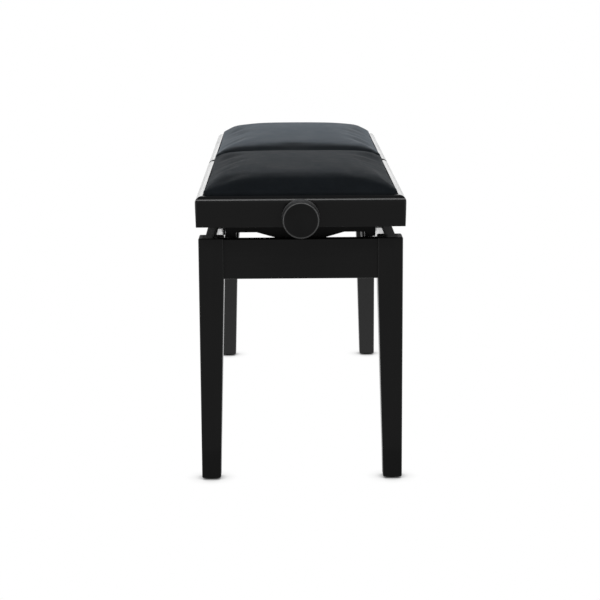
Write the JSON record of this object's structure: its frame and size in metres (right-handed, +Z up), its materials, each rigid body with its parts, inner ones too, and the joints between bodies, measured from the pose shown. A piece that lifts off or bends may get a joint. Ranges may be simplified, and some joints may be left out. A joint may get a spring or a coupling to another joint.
{
  "type": "piano bench",
  "caption": "Long piano bench with padded seats side by side, each raised by its own end knob through a screw-driven scissor lift, on square tapered legs.",
  "frame": {"origin": "on the floor, under the middle of the bench", "axes": "+X along the bench towards the right seat's knob, +Y across the bench, +Z up"},
  "size_m": [1.069, 0.334, 0.502],
  "materials": {
    "lacquered_wood": "black satin lacquer",
    "board_wood": "stained black",
    "black_vinyl": "soft grained",
    "black_steel": "black powder coat",
    "zinc_steel": "zinc plated",
    "black_plastic": "satin",
    "glide_plastic": "matt"
  },
  "bodies": {
    "base": {"right_leg_back": "lacquered_wood", "right_leg_front": "lacquered_wood", "left_leg_back": "lacquered_wood", "left_leg_front": "lacquered_wood", "long_apron_back": "lacquered_wood", "long_apron_front": "lacquered_wood", "centre_rail": "lacquered_wood", "corner_blocks": "board_wood", "leg_bolts": "zinc_steel", "glides": "glide_plastic", "rail_brackets": "black_steel", "bracket_screws": "zinc_steel", "right_end_apron": "lacquered_wood", "right_lower_rail_back": "black_steel", "right_lower_rail_front": "black_steel", "right_lower_pivot_shaft": "zinc_steel", "left_end_apron": "lacquered_wood", "left_lower_rail_back": "black_steel", "left_lower_rail_front": "black_steel", "left_lower_pivot_shaft": "zinc_steel"},
    "right_lift_arms": {"right_lift_arm_back": "black_steel", "right_lift_arm_front": "black_steel", "right_centre_rivets": "zinc_steel"},
    "right_stay_arms": {"right_stay_arm_back": "black_steel", "right_stay_arm_front": "black_steel", "right_slide_shaft": "zinc_steel"},
    "right_nut_bar": {"right_nut_bar": "black_steel"},
    "right_spindle": {"right_spindle": "zinc_steel", "right_knob": "black_plastic"},
    "right_seat": {"right_frame_outer_rail": "lacquered_wood", "right_frame_inner_rail": "lacquered_wood", "right_frame_back_rail": "lacquered_wood", "right_frame_front_rail": "lacquered_wood", "right_seat_board": "board_wood", "right_cushion": "black_vinyl", "right_upper_rail_back": "black_steel", "right_upper_rail_front": "black_steel", "right_upper_rivets": "zinc_steel", "right_bearing_plate": "black_steel", "right_seat_screws": "zinc_steel"},
    "left_lift_arms": {"left_lift_arm_back": "black_steel", "left_lift_arm_front": "black_steel", "left_centre_rivets": "zinc_steel"},
    "left_stay_arms": {"left_stay_arm_back": "black_steel", "left_stay_arm_front": "black_steel", "left_slide_shaft": "zinc_steel"},
    "left_nut_bar": {"left_nut_bar": "black_steel"},
    "left_spindle": {"left_spindle": "zinc_steel", "left_knob": "black_plastic"},
    "left_seat": {"left_frame_outer_rail": "lacquered_wood", "left_frame_inner_rail": "lacquered_wood", "left_frame_back_rail": "lacquered_wood", "left_frame_front_rail": "lacquered_wood", "left_seat_board": "board_wood", "left_cushion": "black_vinyl", "left_upper_rail_back": "black_steel", "left_upper_rail_front": "black_steel", "left_upper_rivets": "zinc_steel", "left_bearing_plate": "black_steel", "left_seat_screws": "zinc_steel"}
  },
  "joints": [
    {"name": "right_lift", "type": "hinge", "parent": "base", "child": "right_lift_arms", "pos_m": [0.3975, 0, 0.384], "axis": [0, 1, 0], "range_deg": [0, 19.43]},
    {"name": "right_stay", "type": "hinge", "parent": "right_lift_arms", "child": "right_stay_arms", "pos_m": [0.25004, 0, 0.4115], "axis": [0, 1, 0], "range_deg": [-38.86, 0]},
    {"name": "right_seat_level", "type": "hinge", "parent": "right_stay_arms", "child": "right_seat", "pos_m": [0.3975, 0, 0.439], "axis": [0, 1, 0], "range_deg": [0, 19.43]},
    {"name": "right_nut_bar_level", "type": "hinge", "parent": "right_lift_arms", "child": "right_nut_bar", "pos_m": [0.10258, 0, 0.439], "axis": [0, 1, 0], "range_deg": [-19.43, 0]},
    {"name": "right_knob_turn", "type": "hinge", "parent": "right_seat", "child": "right_spindle", "pos_m": [0.5345, 0, 0.439], "axis": [-1, 0, 0], "range_deg": [0, 4211.61]},
    {"name": "left_lift", "type": "hinge", "parent": "base", "child": "left_lift_arms", "pos_m": [-0.3975, 0, 0.384], "axis": [0, -1, 0], "range_deg": [0, 19.43]},
    {"name": "left_stay", "type": "hinge", "parent": "left_lift_arms", "child": "left_stay_arms", "pos_m": [-0.25004, 0, 0.4115], "axis": [0, -1, 0], "range_deg": [-38.86, 0]},
    {"name": "left_seat_level", "type": "hinge", "parent": "left_stay_arms", "child": "left_seat", "pos_m": [-0.3975, 0, 0.439], "axis": [0, -1, 0], "range_deg": [0, 19.43]},
    {"name": "left_nut_bar_level", "type": "hinge", "parent": "left_lift_arms", "child": "left_nut_bar", "pos_m": [-0.10258, 0, 0.439], "axis": [0, -1, 0], "range_deg": [-19.43, 0]},
    {"name": "left_knob_turn", "type": "hinge", "parent": "left_seat", "child": "left_spindle", "pos_m": [-0.5345, 0, 0.439], "axis": [1, 0, 0], "range_deg": [0, 4211.61]}
  ],
  "couplings": [
    {"joint": "right_stay", "follows": "right_lift", "ratio": -2},
    {"joint": "right_seat_level", "follows": "right_lift", "ratio": 1},
    {"joint": "right_nut_bar_level", "follows": "right_lift", "ratio": -1},
    {"joint": "right_knob_turn", "follows": "right_lift", "ratio": 216.76},
    {"joint": "left_stay", "follows": "left_lift", "ratio": -2},
    {"joint": "left_seat_level", "follows": "left_lift", "ratio": 1},
    {"joint": "left_nut_bar_level", "follows": "left_lift", "ratio": -1},
    {"joint": "left_knob_turn", "follows": "left_lift", "ratio": 216.76}
  ]
}
